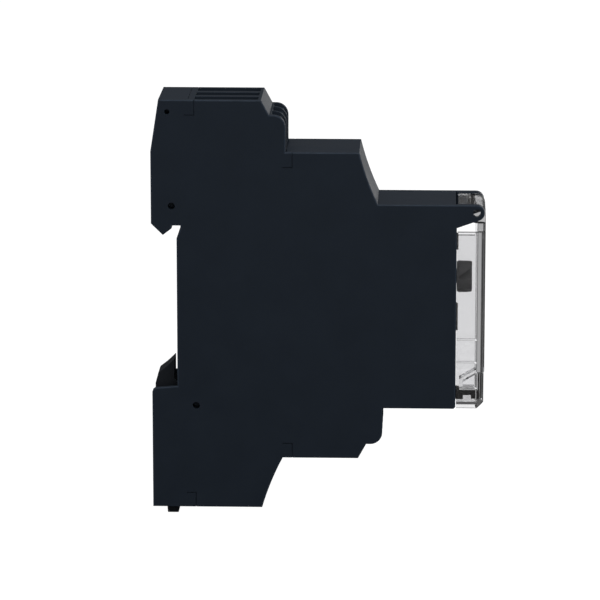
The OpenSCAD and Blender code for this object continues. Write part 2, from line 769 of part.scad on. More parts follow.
module relay_contacts() {
    blade_half = 0.15;
    color(copper_alloy) union() {
        for (y = contact_y)
            box([coil_x - 1.2, y - blade_half, contact_z - 1.2],
                [relay_hi[0] - 0.06, y + blade_half, contact_z + 1.4]);
        rod_y(coil_x, contact_z, contact_y[0], contact_y[0] - 0.4, contact_d);
        rod_y(coil_x, contact_z, contact_y[1] + 0.8, contact_y[1], contact_d);
    }
}

// ---- terminals

busbar_y = -11.4;                // rear face of the tongue, in the tier's frame
busbar_half = 1.1;
busbar_t = 0.7;

// Tongues behind the screws' tips. Two have a foot that runs to the face of the main board, and
// the third ends on the board's edge, at edge_z in the tier's frame.
module busbars(edge_z) {
    blade_top = -4.6;
    foot_h = 0.8;
    rear_foot_z = -tier_drop - 5.4;
    for (i = [0:1]) {
        foot_z = rear_foot_z - 1.8 * (1 - i);
        box([pole_x(i) - busbar_half, busbar_y - busbar_t, foot_z],
            [pole_x(i) + busbar_half, busbar_y, blade_top]);
        box([pole_x(i) - busbar_half, busbar_y - busbar_t, foot_z],
            [board_x - 0.02, busbar_y, foot_z + foot_h]);
    }
    box([pole_x(2) - busbar_half, busbar_y - busbar_t, edge_z + 0.02],
        [pole_x(2) + busbar_half, busbar_y, blade_top]);
}

module upper_busbars() { color(copper_alloy) upper_rear() busbars(board_top - half_h); }
module lower_busbars() { color(copper_alloy) lower_front() busbars(-board_low - mid_h); }

module terminal_screw(i) {
    head_y = -19.2;
    seat_y = -17.8;
    recess_half = 0.3;
    recess_r = 1.2;
    color(metal) difference() {
        union() {
            rod_y(pole_x(i), guard_z, seat_y, head_y, head_d);
            rod_y(pole_x(i), guard_z, busbar_y - busbar_t - 0.1, seat_y - 0.2, shank_d);
        }
        // cross recess
        translate([pole_x(i), head_y, guard_z]) for (a = [20, 110]) rotate([0, a, 0])
            box([-recess_half, -1, -recess_r], [recess_half, 0.7, recess_r]);
    }
}

// Wire clamp that travels along the screw. The outer two are moved inwards, clear of the case.
module wire_clamp(i) {
    x = pole_x(i) + (i == 0 ? 0.15 : i == 2 ? -0.1 : 0);
    outer = [1.8, -14.2, -6.6, 2];   // half width, front, rear, half height
    inner = [1.3, -12.9, -7.6];
    color(metal) difference() {
        box([x - outer[0], outer[1], guard_z - outer[3]], [x + outer[0], outer[2], guard_z + outer[3]]);
        box([pole_x(i) - inner[0], inner[1], guard_z - 4], [pole_x(i) + inner[0], inner[2], guard_z + 4]);
        rod_y(pole_x(i), guard_z, inner[1] + 0.9, outer[1] - 1.8, shank_d + 2 * run_gap);
    }
}

module upper_screw_1() { upper_rear() terminal_screw(0); }
module upper_screw_2() { upper_rear() terminal_screw(1); }
module upper_screw_3() { upper_rear() terminal_screw(2); }
module lower_screw_1() { lower_front() terminal_screw(0); }
module lower_screw_2() { lower_front() terminal_screw(1); }
module lower_screw_3() { lower_front() terminal_screw(2); }
module upper_clamp_1() { upper_rear() wire_clamp(0); }
module upper_clamp_2() { upper_rear() wire_clamp(1); }
module upper_clamp_3() { upper_rear() wire_clamp(2); }
module lower_clamp_1() { lower_front() wire_clamp(0); }
module lower_clamp_2() { lower_front() wire_clamp(1); }
module lower_clamp_3() { lower_front() wire_clamp(2); }

housing();
side_cover();
upper_terminal_cover();
lower_terminal_cover();
upper_blank_cover();
lower_blank_cover();
front_panel();
dial_label();
cover_catch();
clear_cover();
rail_latch();
latch_spring();
time_knob();
range_selector();
test_button();
button_switch();
potentiometer();
range_switch();
status_lamps();
light_guides();
main_board();
front_board();
board_connector();
relay_base();
relay_case();
relay_coil();
relay_yoke();
relay_armature();
relay_contacts();
smoothing_capacitor();
dropper_capacitor();
varistor();
controller_chip();
clock_crystal();
rectifier_diodes();
resistors();
upper_busbars();
lower_busbars();
upper_screw_1();
upper_screw_2();
upper_screw_3();
lower_screw_1();
lower_screw_2();
lower_screw_3();
upper_clamp_1();
upper_clamp_2();
upper_clamp_3();
lower_clamp_1();
lower_clamp_2();
lower_clamp_3();
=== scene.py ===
import json
import math

import bmesh
import bpy
from mathutils import Matrix, Vector

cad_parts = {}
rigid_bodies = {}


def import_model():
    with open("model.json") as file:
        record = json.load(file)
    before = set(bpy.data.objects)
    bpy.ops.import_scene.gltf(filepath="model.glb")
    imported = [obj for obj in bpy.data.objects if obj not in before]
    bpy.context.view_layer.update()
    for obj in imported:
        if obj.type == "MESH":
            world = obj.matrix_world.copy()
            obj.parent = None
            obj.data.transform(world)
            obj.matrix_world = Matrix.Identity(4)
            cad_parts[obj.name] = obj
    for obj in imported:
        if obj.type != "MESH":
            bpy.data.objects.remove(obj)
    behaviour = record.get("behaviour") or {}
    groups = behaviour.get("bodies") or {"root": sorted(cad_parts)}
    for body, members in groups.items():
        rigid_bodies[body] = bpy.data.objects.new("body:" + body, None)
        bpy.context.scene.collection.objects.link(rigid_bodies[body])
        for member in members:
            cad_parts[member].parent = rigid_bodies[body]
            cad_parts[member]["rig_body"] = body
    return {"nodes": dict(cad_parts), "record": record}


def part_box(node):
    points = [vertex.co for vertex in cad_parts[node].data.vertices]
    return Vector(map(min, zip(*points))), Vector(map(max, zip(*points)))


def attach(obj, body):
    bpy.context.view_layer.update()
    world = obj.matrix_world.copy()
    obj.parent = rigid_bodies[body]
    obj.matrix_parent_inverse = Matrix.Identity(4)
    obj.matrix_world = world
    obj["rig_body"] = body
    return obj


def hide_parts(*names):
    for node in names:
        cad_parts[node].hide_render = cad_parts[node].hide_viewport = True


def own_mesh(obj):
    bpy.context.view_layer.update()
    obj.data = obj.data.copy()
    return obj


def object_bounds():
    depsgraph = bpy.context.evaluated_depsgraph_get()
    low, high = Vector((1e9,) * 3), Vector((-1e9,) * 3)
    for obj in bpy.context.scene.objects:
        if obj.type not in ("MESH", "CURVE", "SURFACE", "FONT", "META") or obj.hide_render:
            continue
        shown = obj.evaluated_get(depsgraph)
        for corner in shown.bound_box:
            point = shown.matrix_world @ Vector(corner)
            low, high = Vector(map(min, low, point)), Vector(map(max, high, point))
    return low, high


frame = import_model()
cad_box = [list(corner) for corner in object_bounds()]

MM = 0.001
NODES = frame["nodes"]
SLOT_OF = {s["node"]: s["material_slot"] for s in frame["record"]["subparts"]}
BODY_OF = {node: NODES[node]["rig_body"] for node in NODES}
scene = bpy.context.scene
low, high = (Vector(c) for c in cad_box)

# ---------------------------------------------------------------- camera, light and floor

# the photo's point of view: the angles are from straight in front, and the distance is in metres
AZIMUTH = math.radians(-87.906)
ELEVATION = math.radians(12.493)
TARGET = Vector((0, -26.303, -0.466)) * MM
DISTANCE = 0.817286
# the lens and the width of the sensor in mm
FOCAL_LENGTH = 224.85
SENSOR = 36

# name, place in metres, watts and diameter in metres
SOFTBOXES = [
    ("overhead", (-0.22, -0.06, 0.58), 1.25, 0.3),
    ("side", (-0.60, -0.10, 0.16), 0.95, 0.5),
    ("front", (-0.20, -0.60, 0.15), 0.7, 0.4),
    ("far_side", (0.50, -0.40, 0.10), 1.3, 0.5),
    ("rear", (0.02, 0.62, 0.06), 1.3, 0.5),
]
WORLD_STRENGTH = 0.5
PAPER = (0.12, 0.12, 0.123)
# share of the white surround that a ray shows after a reflection inside clear plastic
PIPED_SHARE = 0.20


def add_camera():
    """The camera of the photo, as fitted to the case's edges."""
    across = math.cos(ELEVATION)
    back = Vector((math.sin(AZIMUTH) * across, -math.cos(AZIMUTH) * across, math.sin(ELEVATION)))
    data = bpy.data.cameras.new("camera")
    data.sensor_width = SENSOR
    data.lens = FOCAL_LENGTH
    data.clip_start, data.clip_end = 0.01, 10
    camera = bpy.data.objects.new("camera", data)
    camera.location = TARGET + back * DISTANCE
    camera.rotation_mode = "QUATERNION"
    camera.rotation_quaternion = (-back).to_track_quat("-Z", "Y")
    scene.collection.objects.link(camera)
    scene.camera = camera


def math_of(nodes, links, operation, first, second):
    """A Math node. Each input is a socket or a number."""
    node = nodes.new("ShaderNodeMath")
    node.operation = operation
    for socket, value in zip(node.inputs, (first, second)):
        if isinstance(value, float):
            socket.default_value = value
        else:
            links.new(value, socket)
    return node.outputs[0]


def light_path(nodes, links):
    """Whether a ray comes straight from the camera, and how much of the white surround it shows if it
    came through clear plastic: all of it if it went straight, and a share if it was reflected inside."""
    path = nodes.new("ShaderNodeLightPath")
    straight = math_of(nodes, links, "LESS_THAN", path.outputs["Glossy Depth"], 0.5)
    share = math_of(nodes, links, "MAXIMUM", straight, PIPED_SHARE)
    fresh = math_of(nodes, links, "LESS_THAN", path.outputs["Diffuse Depth"], 0.5)
    through = math_of(nodes, links, "MULTIPLY", path.outputs["Is Transmission Ray"], fresh)
    return path.outputs["Is Camera Ray"], math_of(nodes, links, "MULTIPLY", through, share)


def switch(nodes, links, flag, off, on):
    """Shows one shader or the other, or a mix where the flag is a share."""
    mix = nodes.new("ShaderNodeMixShader")
    links.new(flag, mix.inputs[0])
    links.new(off, mix.inputs[1])
    links.new(on, mix.inputs[2])
    return mix.outputs[0]


def ramp_of(nodes, links, value, *stops):
    """A colour ramp through grey stops of (place, level)."""
    node = nodes.new("ShaderNodeValToRGB")
    for index, (place, level) in enumerate(stops):
        stop = node.color_ramp.elements[index] if index < 2 else node.color_ramp.elements.new(place)
        stop.position = place
        stop.color = (level, level, level * 1.01, 1)
    links.new(value, node.inputs[0])
    return node.outputs[0]


def add_world():
    """A white surround, soft and brighter above. Clear plastic shows it with a dim ceiling and ground."""
    world = bpy.data.worlds.new("studio")
    world.use_nodes = True
    nodes, links = world.node_tree.nodes, world.node_tree.links
    nodes.clear()
    coords = nodes.new("ShaderNodeTexCoord")
    split = nodes.new("ShaderNodeSeparateXYZ")
    height = nodes.new("ShaderNodeMapRange")
    height.inputs["From Min"].default_value = -1
    links.new(coords.outputs["Generated"], split.inputs[0])
    links.new(split.outputs["Z"], height.inputs["Value"])
    light = nodes.new("ShaderNodeBackground")
    light.inputs["Strength"].default_value = WORLD_STRENGTH
    levels = ramp_of(nodes, links, height.outputs[0], (0.45, 0.12), (0.95, 1.0), (0.62, 0.18))
    links.new(levels, light.inputs["Color"])
    shown = nodes.new("ShaderNodeBackground")
    levels = ramp_of(nodes, links, height.outputs[0], (0.2, 0.12), (0.9, 0.12), (0.38, 1.0), (0.7, 1.0))
    links.new(levels, shown.inputs["Color"])
    white = nodes.new("ShaderNodeBackground")
    white.inputs["Color"].default_value = (1, 1, 1, 1)
    direct, through = light_path(nodes, links)
    seen = switch(nodes, links, through, light.outputs[0], shown.outputs[0])
    out = nodes.new("ShaderNodeOutputWorld")
    links.new(switch(nodes, links, direct, seen, white.outputs[0]), out.inputs["Surface"])
    scene.world = world


def add_softbox(name, place, power, size):
    """A round lamp that faces the middle of the object."""
    data = bpy.data.lights.new(name, "AREA")
    data.shape = "DISK"
    data.size = size
    data.energy = power
    lamp = bpy.data.objects.new(name, data)
    lamp.location = place
    centre = (low + high) / 2
    lamp.rotation_mode = "QUATERNION"
    lamp.rotation_quaternion = (centre - Vector(place)).to_track_quat("-Z", "Y")
    scene.collection.objects.link(lamp)


def add_floor():
    """A pale sheet just under the foot. It shows from above only, so the underside can be looked at."""
    bm = bmesh.new()
    bmesh.ops.create_grid(bm, x_segments=1, y_segments=1, size=3)
    mesh = bpy.data.meshes.new("floor")
    bm.to_mesh(mesh)
    bm.free()
    mesh.materials.append(floor_material())
    floor = bpy.data.objects.new("floor", mesh)
    floor.location.z = low.z - 0.05 * MM
    scene.collection.objects.link(floor)


def floor_material():
    """White to the camera, and matt paper to everything that the object sends its way."""
    material = bpy.data.materials.new("floor")
    material.use_nodes = True
    nodes, links = material.node_tree.nodes, material.node_tree.links
    nodes.clear()
    paper = nodes.new("ShaderNodeBsdfDiffuse")
    paper.inputs["Color"].default_value = (*PAPER, 1)
    bright = nodes.new("ShaderNodeEmission")
    bright.inputs["Strength"].default_value = 1.0
    lit = nodes.new("ShaderNodeAddShader")
    links.new(paper.outputs[0], lit.inputs[0])
    links.new(bright.outputs[0], lit.inputs[1])
    # through clear plastic the sheet is white, but dim close to the object
    place = nodes.new("ShaderNodeNewGeometry")
    away = nodes.new("ShaderNodeVectorMath")
    away.operation = "LENGTH"
    links.new(place.outputs["Position"], away.inputs[0])
    shown = nodes.new("ShaderNodeEmission")
    levels = ramp_of(nodes, links, away.outputs["Value"], (0.06, 0.15), (0.11, 1.0))
    links.new(levels, shown.inputs["Color"])
    direct, through = light_path(nodes, links)
    seen = switch(nodes, links, through, paper.outputs[0], shown.outputs[0])
    seen = switch(nodes, links, direct, seen, lit.outputs[0])
    clear = nodes.new("ShaderNodeBsdfTransparent")
    both = switch(nodes, links, place.outputs["Backfacing"], seen, clear.outputs[0])
    out = nodes.new("ShaderNodeOutputMaterial")
    links.new(both, out.inputs["Surface"])
    return material


add_camera()
add_world()
for softbox in SOFTBOXES:
    add_softbox(*softbox)
add_floor()
scene.view_settings.view_transform = "Standard"

# ---------------------------------------------------------------- materials


def new_material(name):
    """A material, its nodes and links, and its shader."""
    material = bpy.data.materials.new(name)
    material.use_nodes = True
    nodes, links = material.node_tree.nodes, material.node_tree.links
    return material, nodes, links, nodes["Principled BSDF"]


def noise_of(nodes, links, per_mm, detail):
    """A noise texture in the object's own space, with per_mm cells to a millimetre."""
    coords = nodes.new("ShaderNodeTexCoord")
    texture = nodes.new("ShaderNodeTexNoise")
    texture.inputs["Scale"].default_value = per_mm / MM
    texture.inputs["Detail"].default_value = detail
    links.new(coords.outputs["Object"], texture.inputs["Vector"])
    return texture.outputs["Fac"]


def remap(nodes, links, value, low_out, high_out, low_in=0.3, high_in=0.7):
    """Spreads the middle of a noise's range over another range."""
    node = nodes.new("ShaderNodeMapRange")
    limits = {"From Min": low_in, "From Max": high_in, "To Min": low_out, "To Max": high_out}
    for key, number in limits.items():
        node.inputs[key].default_value = number
    links.new(value, node.inputs["Value"])
    return node.outputs[0]


def mix_colours(nodes, links, factor, first, second):
    """second over first by factor. Each colour is an RGB triple or a socket."""
    node = nodes.new("ShaderNodeMix")
    node.data_type = "RGBA"
    sockets = [s for s in node.inputs if s.type == "RGBA"]
    for socket, colour in zip(sockets, (first, second)):
        if isinstance(colour, tuple):
            socket.default_value = (*colour, 1)
        else:
            links.new(colour, socket)
    links.new(factor, node.inputs[0])
    return [s for s in node.outputs if s.type == "RGBA"][0]


def add_bump(nodes, links, shader, value, depth_mm, strength):
    """Small hollows and rises of up to depth_mm on the surface."""
    bump = nodes.new("ShaderNodeBump")
    bump.inputs["Distance"].default_value = depth_mm * MM
    bump.inputs["Strength"].default_value = strength
    links.new(value, bump.inputs["Height"])
    links.new(bump.outputs[0], shader.inputs["Normal"])


def shade(colour, times):
    """The colour, made lighter or darker."""
    return tuple(min(1.0, c * times) for c in colour)


def moulded_plastic(name, colour, rough=0.45, gloss=0.08, grain=0.010, wear_and_highlight_lift=1.9):
    """Moulded resin: fine spark-eroded grain, faint flow mottling, and rounded edges painted a little
    lighter, partly as rubbed wear and partly as a painted highlight.
    """
    material, nodes, links, shader = new_material(name)
    mottle = noise_of(nodes, links, 0.12, detail=4)
    speck = noise_of(nodes, links, 9.0, detail=2)
    cloudy = remap(nodes, links, mottle, 0.0, 1.0)
    tone = mix_colours(nodes, links, cloudy, shade(colour, 0.93), shade(colour, 1.07))
    tone = mix_colours(nodes, links, remap(nodes, links, speck, 0.0, 0.35), tone, shade(colour, 1.25))
    # the rounded edges are painted lighter: partly rubbed wear, partly a painted highlight where the rounding
    # catches light
    edge = nodes.new("ShaderNodeAttribute")
    edge.attribute_name = "edge"
    wear_and_highlight_spread = remap(nodes, links, noise_of(nodes, links, 0.5, detail=5), 0.35, 1.0)
    wear_and_highlight_mask = math_of(nodes, links, "MULTIPLY", edge.outputs["Fac"], wear_and_highlight_spread)
    tone = mix_colours(nodes, links, wear_and_highlight_mask, tone, shade(colour, wear_and_highlight_lift))
    links.new(tone, shader.inputs["Base Color"])
    links.new(remap(nodes, links, mottle, rough - 0.04, rough + 0.06), shader.inputs["Roughness"])
    shader.inputs["Specular IOR Level"].default_value = gloss
    add_bump(nodes, links, shader, speck, grain, 0.6)
    return material


def clear_resin(name, tint, rough=0.03, density=0.0, clear=1.0):
    """Clear resin, darker where it is thick. Lamps shine through it, so what is behind stays lit."""
    material, nodes, links, shader = new_material(name)
    shader.inputs["Base Color"].default_value = (*tint, 1)
    shader.inputs["Transmission Weight"].default_value = clear
    shader.inputs["IOR"].default_value = POLYCARBONATE_IOR
    flow = noise_of(nodes, links, 0.25, detail=2)
    links.new(remap(nodes, links, flow, rough * 0.6, rough * 1.6), shader.inputs["Roughness"])
    add_bump(nodes, links, shader, flow, 0.004, 0.3)
    path = nodes.new("ShaderNodeLightPath")
    through = nodes.new("ShaderNodeBsdfTransparent")
    through.inputs["Color"].default_value = (*tint, 1)
    out = nodes["Material Output"]
    links.new(switch(nodes, links, path.outputs["Is Shadow Ray"], shader.outputs[0], through.outputs[0]),
              out.inputs["Surface"])
    if density:
        depth = nodes.new("ShaderNodeVolumeAbsorption")
        depth.inputs["Color"].default_value = (0, 0, 0, 1)
        depth.inputs["Density"].default_value = density
        links.new(depth.outputs[0], out.inputs["Volume"])
    return material


def plated_metal(name, colour, rough=0.3):
    """Bright metal, finely uneven, with faint dull patches."""
    material, nodes, links, shader = new_material(name)
    grain = noise_of(nodes, links, 6.0, detail=3)
    patches = noise_of(nodes, links, 0.5, detail=5)
    dull = remap(nodes, links, patches, 0.0, 0.35, 0.5, 0.8)
    stained = tuple(level * share for level, share in zip(colour, STAIN))
    links.new(mix_colours(nodes, links, dull, colour, stained), shader.inputs["Base Color"])
    shader.inputs["Metallic"].default_value = 1
    links.new(remap(nodes, links, grain, rough - 0.08, rough + 0.1), shader.inputs["Roughness"])
    add_bump(nodes, links, shader, grain, 0.004, 0.5)
    return material


CASE = (0.0155, 0.0218, 0.0316)
LATCH = (0.0150, 0.0175, 0.0215)
PANEL = (0.012, 0.013, 0.015)
KNOB = (0.060, 0.060, 0.061)
# how much of each of its colours stained metal keeps
STAIN = (0.5, 0.47, 0.42)
POLYCARBONATE_IOR = 1.585

# the edge lift of a plastic paints its rounded edges lighter, partly as wear and partly as a painted
# highlight
PLASTICS = {
    "case_plastic": dict(colour=CASE),
    "latch_plastic": dict(colour=LATCH, rough=0.4, grain=0.005),
    "panel_plastic": dict(colour=PANEL),
    "catch_plastic": dict(colour=(0.006, 0.006, 0.006), rough=0.3, grain=0.002),
    "knob_plastic": dict(colour=KNOB, rough=0.4, gloss=0.05, grain=0.004, wear_and_highlight_lift=1.3),
    "component_plastic": dict(colour=(0.012, 0.012, 0.013), rough=0.5),
    "potentiometer_blue": dict(colour=(0.02, 0.09, 0.38), rough=0.35, grain=0.003, wear_and_highlight_lift=1.3),
    "relay_case_plastic": dict(colour=(0.03, 0.07, 0.22), rough=0.25, grain=0.002, wear_and_highlight_lift=1.3),
    "film_capacitor": dict(colour=(0.42, 0.24, 0.03), rough=0.3, grain=0.003, wear_and_highlight_lift=1.2),
    "varistor_coat": dict(colour=(0.03, 0.10, 0.33), rough=0.3, grain=0.02, wear_and_highlight_lift=1.1),
    "resistor_body": dict(colour=(0.50, 0.34, 0.18), rough=0.35, grain=0.004, wear_and_highlight_lift=1.1),
    "capacitor_sleeve": dict(colour=(0.012, 0.016, 0.05), rough=0.22, grain=0.003, wear_and_highlight_lift=1.2),
    "board_laminate": dict(colour=(0.012, 0.10, 0.045), rough=0.3, grain=0.004, wear_and_highlight_lift=1.4),
    "dial_foil": dict(colour=(0.74, 0.75, 0.76), grain=0.002, wear_and_highlight_lift=1.1),
    "coil_winding": dict(colour=(0.42, 0.14, 0.04), rough=0.25, grain=0.003, wear_and_highlight_lift=1.2),
}
CLEAR_RESINS = {
    "clear_plastic": dict(tint=(0.915, 0.915, 0.92), density=50.0),
    "light_guide_clear": dict(tint=(0.80, 0.84, 0.80), rough=0.25, clear=0.45),
    "lamp_resin": dict(tint=(0.90, 0.95, 0.85), rough=0.35),
}
METALS = {
    "spring_steel": dict(colour=(0.60, 0.60, 0.61), rough=0.25),
    "relay_iron": dict(colour=(0.55, 0.54, 0.52), rough=0.35),
    "contact_alloy": dict(colour=(0.75, 0.55, 0.28)),
    "crystal_can": dict(colour=(0.75, 0.75, 0.76), rough=0.2),
    "terminal_steel": dict(colour=(0.66, 0.66, 0.63), rough=0.28),
}
MATERIALS = {
    **{name: moulded_plastic(name, **look) for name, look in PLASTICS.items()},
    **{name: clear_resin(name, **look) for name, look in CLEAR_RESINS.items()},
    **{name: plated_metal(name, **look) for name, look in METALS.items()},
}

# ---------------------------------------------------------------- mesh helpers

# edges sharper than SHARP are rounded, and edges up to SMOOTH are shaded smooth
SHARP = math.radians(30)
SMOOTH = math.radians(35)
# the rounding of edges that have no room for more
FINE = dict(width_mm=0.06)


def welded(node):
    """The CAD node's mesh with shared corners and each flat face in one piece."""
    bm = bmesh.new()
    bm.from_mesh(NODES[node].data)
    bmesh.ops.remove_doubles(bm, verts=bm.verts, dist=0.001 * MM)
    bmesh.ops.dissolve_limit(bm, angle_limit=math.radians(0.5), verts=bm.verts, edges=bm.edges)
    bm.normal_update()
    return bm


def room_beside(edge):
    """The shortest neighbour that a rounding of this edge would run along."""
    lengths = []
    for vert in edge.verts:
        along = (edge.other_vert(vert).co - vert.co).normalized()
        for other in vert.link_edges:
            arm = other.other_vert(vert).co - vert.co
            if other is not edge and abs(arm.normalized().dot(along)) < 0.9:
                lengths.append(arm.length)
    return min(lengths, default=1.0)


def round_edges(bm, width_mm, segments=2, pick=None, room=2.1):
    """Rounds the sharp outer edges that have room, and marks the new faces for the materials."""
    width = width_mm * MM
    layer = bm.faces.layers.float.get("edge") or bm.faces.layers.float.new("edge")
    bm.normal_update()
    chosen = [e for e in bm.edges if e.is_manifold and e.is_convex and e.calc_face_angle() > SHARP
              and room_beside(e) > room * width and (pick is None or pick(e))]
    if not chosen:
        return
    made = bmesh.ops.bevel(bm, geom=chosen, offset=width, offset_type="OFFSET", segments=segments,
                           profile=0.5, affect="EDGES", clamp_overlap=True, loop_slide=True)
    # the new faces are marked so the plastics paint them lighter, partly as wear and partly as a painted
    # highlight
    for face in made["faces"]:
        face[layer] = 1.0
    bmesh.ops.remove_doubles(bm, verts=bm.verts, dist=0.0005 * MM)
    bm.normal_update()


def place_piece(bm, name, slot, body, replaced=()):
    """Makes a piece of the mesh, smooth except at its sharp edges, riding on a body."""
    for face in bm.faces:
        face.smooth = True
    for edge in bm.edges:
        edge.smooth = len(edge.link_faces) == 2 and edge.calc_face_angle() < SMOOTH
    mesh = bpy.data.meshes.new(name)
    bm.to_mesh(mesh)
    bm.free()
    mesh.materials.append(MATERIALS[slot])
    piece = bpy.data.objects.new(name, mesh)
    scene.collection.objects.link(piece)
    normals = piece.modifiers.new("normals", "WEIGHTED_NORMAL")
    normals.keep_sharp = True
    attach(piece, body)
    if replaced:
        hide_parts(*replaced)
    return piece


def finished(node, *roundings):
    """The CAD node again, with its edges rounded as a mould or a press leaves them."""
    bm = welded(node)
    for rounding in roundings:
        round_edges(bm, **rounding)
    return place_piece(bm, node + "_part", SLOT_OF[node], BODY_OF[node], [node])


AXES = {"X": (Vector((1, 0, 0)), Vector((0, 1, 0)), Vector((0, 0, 1))),
        "Y": (Vector((0, 1, 0)), Vector((0, 0, 1)), Vector((1, 0, 0)))}


def add_rings(bm, rings):
    """Skins rings of equal length and closes both ends."""
    rings = [[bm.verts.new(point) for point in ring] for ring in rings]
    steps = len(rings[0])
    for one, two in zip(rings, rings[1:]):
        for i in range(steps):
            j = (i + 1) % steps
            bm.faces.new((one[i], one[j], two[j], two[i]))
    bm.faces.new(rings[0][::-1])
    bm.faces.new(rings[-1])


def ring_of(place, radius, centre, axis, steps):
    """Points round an axis, at a place along it in mm from centre."""
    along, across, up = AXES[axis]
    turns = [math.tau * i / steps for i in range(steps)]
    spokes = [across * math.cos(turn) + up * math.sin(turn) for turn in turns]
    return [Vector(centre) + (along * place + spoke * radius) * MM for spoke in spokes]


def add_turned(bm, profile, centre, axis="Y", steps=48):
    """A lathe-turned shape. The profile is (mm along the axis from centre, radius in mm)."""
    add_rings(bm, [ring_of(place, radius, centre, axis, steps) for place, radius in profile])


def add_wire(bm, points, radius_mm, sides=10):
    """A round wire through points."""
    points = [Vector(p) for p in points]
    before, after = [points[0]] + points[:-1], points[1:] + [points[-1]]
    side = (points[1] - points[0]).orthogonal()
    rings = []
    for point, a, b in zip(points, before, after):
        ahead = (b - a).normalized()
        side = (side - ahead * side.dot(ahead)).normalized()
        up = ahead.cross(side)
        turns = [math.tau * i / sides for i in range(sides)]
        rings.append([point + (side * math.cos(t) + up * math.sin(t)) * radius_mm * MM for t in turns])
    add_rings(bm, rings)


def add_block(bm, lo, hi, turn=None):
    """A block between two corners in metres, moved by a matrix if one is given."""
    corners = [Vector((x, y, z)) for x in (lo[0], hi[0]) for y in (lo[1], hi[1]) for z in (lo[2], hi[2])]
    if turn:
        corners = [turn @ c for c in corners]
    v = [bm.verts.new(c) for c in corners]
    sides = ((0, 1, 3, 2), (4, 6, 7, 5), (0, 4, 5, 1), (2, 3, 7, 6), (0, 2, 6, 4), (1, 5, 7, 3))
    for side in sides:
        bm.faces.new([v[corner] for corner in side])


def add_sleeve(bm, loop, centre, axis="Y", steps=48):
    """A lathe-turned shape with a bore. The closed loop is (mm along the axis from centre, radius in mm)."""
    rings = []
    for place, radius in loop:
        rings.append([bm.verts.new(point) for point in ring_of(place, radius, centre, axis, steps)])
    for one, two in zip(rings, rings[1:] + rings[:1]):
        for i in range(steps):
            j = (i + 1) % steps
            bm.faces.new((one[i], one[j], two[j], two[i]))


def domed(place, radius, height, steps=5):
    """Profile points of a rounded end that starts at place and bulges by height."""
    quarter = [math.pi / 2 * i / steps for i in range(steps)]
    return [(place + height * math.sin(a), radius - abs(height) * (1 - math.cos(a))) for a in quarter]


def turned_piece(name, profile, centre, slot, body, replaced=(), axis="Y"):
    """A piece that is one lathe-turned shape."""
    bm = bmesh.new()
    add_turned(bm, profile, centre, axis)
    return place_piece(closed(bm), name, slot, body, replaced)


def closed(bm):
    """Turns every face outwards."""
    bmesh.ops.recalc_face_normals(bm, faces=bm.faces)
    return bm


def x_span(face):
    """How far a face reaches across the width of the case."""
    xs = [v.co.x for v in face.verts]
    return max(xs) - min(xs)


# ---------------------------------------------------------------- case

# the peg holes and the hinge's hole in the side faces: depth and height in mm
SIDE_HOLES = [(1.85, 42.4), (1.05, 21.9), (-4.05, -22.2), (-64.54, 20.78)]


def on_side_outline(edge):
    """True on the outline of a side face, and not round its holes or clip marks."""
    outermost = high.x - 0.05 * MM
    side = [f for f in edge.link_faces
            if abs(f.normal.x) > 0.99 and abs(f.calc_center_median().x) > outermost]
    rim = [f for f in edge.link_faces if abs(f.normal.x) < 0.3 and x_span(f) > 0.9 * MM]
    if len(side) != 1 or len(rim) != 1:
        return False
    middle = (edge.verts[0].co + edge.verts[1].co) / 2
    return not any((middle.yz - Vector(hole) * MM).length < 1.3 * MM for hole in SIDE_HOLES)


OUTLINE = dict(width_mm=0.28, segments=4, pick=on_side_outline, room=1.01)

for node in ("housing", "side_cover"):
    finished(node, OUTLINE, dict(width_mm=0.12), dict(width_mm=0.05))

# ---------------------------------------------------------------- terminal screws

THREAD_PITCH = 0.45
THREAD_R = 1.25
ROOT_R = 1.0
# from the front of a screw's head to its shank
HEAD_LENGTH = 1.3
POINT_LENGTH = 0.5


def thread_rings(start, length, middle):
    """Rings down a thread that winds to the right and tapers at its point."""
    steps, rows_per_pitch = 28, 6
    rows = round(length / MM / THREAD_PITCH * rows_per_pitch)
    rings = []
    for row in range(rows + 1):
        place = length * row / rows
        limit = THREAD_R - max(0.0, POINT_LENGTH - (length - place) / MM)
        ring = []
        for i in range(steps):
            phase = (place / MM / THREAD_PITCH - i / steps) % 1
            crest = min(1.0, 2.4 * abs(phase - 0.5))
            radius = min(ROOT_R + (THREAD_R - ROOT_R) * crest, limit) * MM
            turn = math.tau * i / steps
            x, z = middle.x + radius * math.sin(turn), middle.z + radius * math.cos(turn)
            ring.append(Vector((x, start + place, z)))
        rings.append(ring)
    return rings


def threaded_screw(node):
    """The head with its cross recess, and a rolled thread in place of the plain shank."""
    bm = welded(node)
    lo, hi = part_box(node)
    middle = (Vector(lo) + Vector(hi)) / 2
    start = lo[1] + HEAD_LENGTH * MM

    def on_shank(vert):
        return (vert.co.xz - middle.xz).length < (THREAD_R + 0.05) * MM and vert.co.y > start

    shank = [face for face in bm.faces if all(on_shank(vert) for vert in face.verts)]
    bmesh.ops.delete(bm, geom=shank, context="FACES")
    rim = [e for e in bm.edges if e.is_boundary]
    bmesh.ops.edgeloop_fill(bm, edges=rim)
    # the rim of the head has room for a wide rounding, and the recess for a fine one
    round_edges(bm, 0.3, segments=4)
    round_edges(bm, **FINE)
    add_rings(bm, thread_rings(start, hi[1] - start, middle))
    place_piece(closed(bm), node + "_part", "terminal_steel", BODY_OF[node], [node])


SCREWS = [node for node in NODES if "_screw_" in node]
for node in SCREWS:
    threaded_screw(node)

# ---------------------------------------------------------------- latch spring


